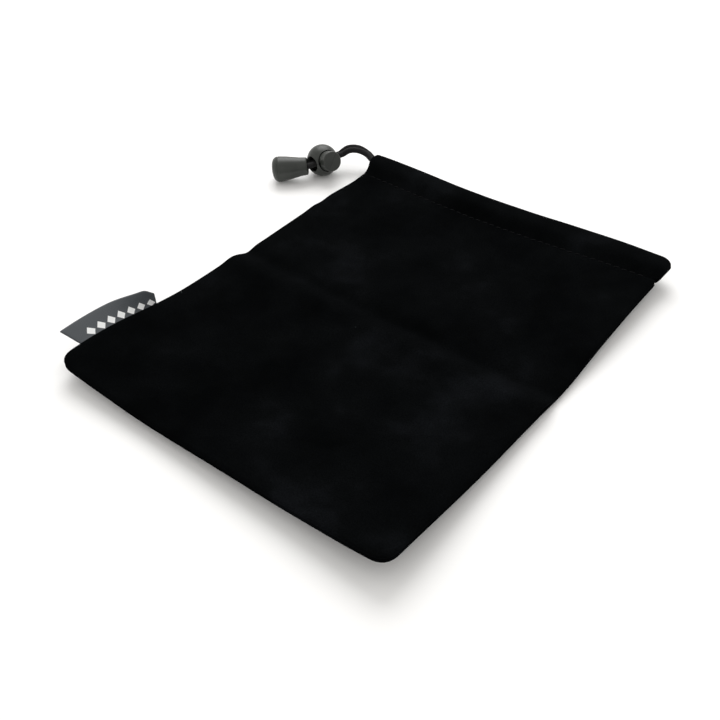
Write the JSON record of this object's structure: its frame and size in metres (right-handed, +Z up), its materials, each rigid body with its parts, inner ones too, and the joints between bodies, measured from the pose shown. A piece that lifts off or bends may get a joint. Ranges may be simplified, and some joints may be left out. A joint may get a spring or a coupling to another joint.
{
  "type": "drawstring pouch",
  "caption": "Flat soft velvet drawstring pouch for glasses, with a hemmed mouth, a draw cord, a push-button ball cord lock, a bell-shaped cord end and a folded side label.",
  "frame": {"origin": "middle of the pouch's underside, where the fold crease's flat stretch rests on the table", "axes": "+X across the pouch from the labelled seam to the plain seam, +Y from the sewn bottom edge to the mouth, +Z up"},
  "size_m": [0.163, 0.164, 0.0134],
  "materials": {
    "velvet": "short cut pile, matte with a faint sheen at the edges",
    "thread": "twisted polyester sewing thread",
    "label": "woven satin label with a light woven motif",
    "cord": "round braided cord",
    "toggle_plastic": "moulded satin plastic",
    "spring_steel": "drawn wire"
  },
  "bodies": {
    "root": {"back_panel_bottom_half": "velvet", "front_panel_bottom_half": "velvet", "seam_thread_bottom_half": "thread", "woven_label": "label"},
    "mouth_half": {"back_panel_mouth_half": "velvet", "front_panel_mouth_half": "velvet", "seam_thread_mouth_half": "thread", "front_hem_thread": "thread", "back_hem_thread": "thread", "drawcord_in_hem": "cord", "cord_tail_front": "cord", "cord_tail_back": "cord", "cord_knot": "cord", "bell_shell": "toggle_plastic", "bell_cap": "toggle_plastic"},
    "lock": {"lock_body": "toggle_plastic", "lock_spring": "spring_steel"},
    "plunger": {"lock_plunger": "toggle_plastic"}
  },
  "joints": [
    {"name": "fold", "type": "hinge", "parent": "root", "child": "mouth_half", "pos_m": [0, 0.002, 0.003], "axis": [1, 0, 0], "range_deg": [0, 160]},
    {"name": "lock_slide", "type": "slide", "parent": "mouth_half", "child": "lock", "axis": [0.3122, 0.9496, 0.0262], "range_m": [0, 0.003]},
    {"name": "plunger_press", "type": "slide", "parent": "lock", "child": "plunger", "axis": [-0.8858, 0.301, -0.3533], "range_m": [0, 0.0018], "stiffness_N_per_m": 600, "springref_m": -0.002, "deforming": ["lock_spring"]}
  ]
}
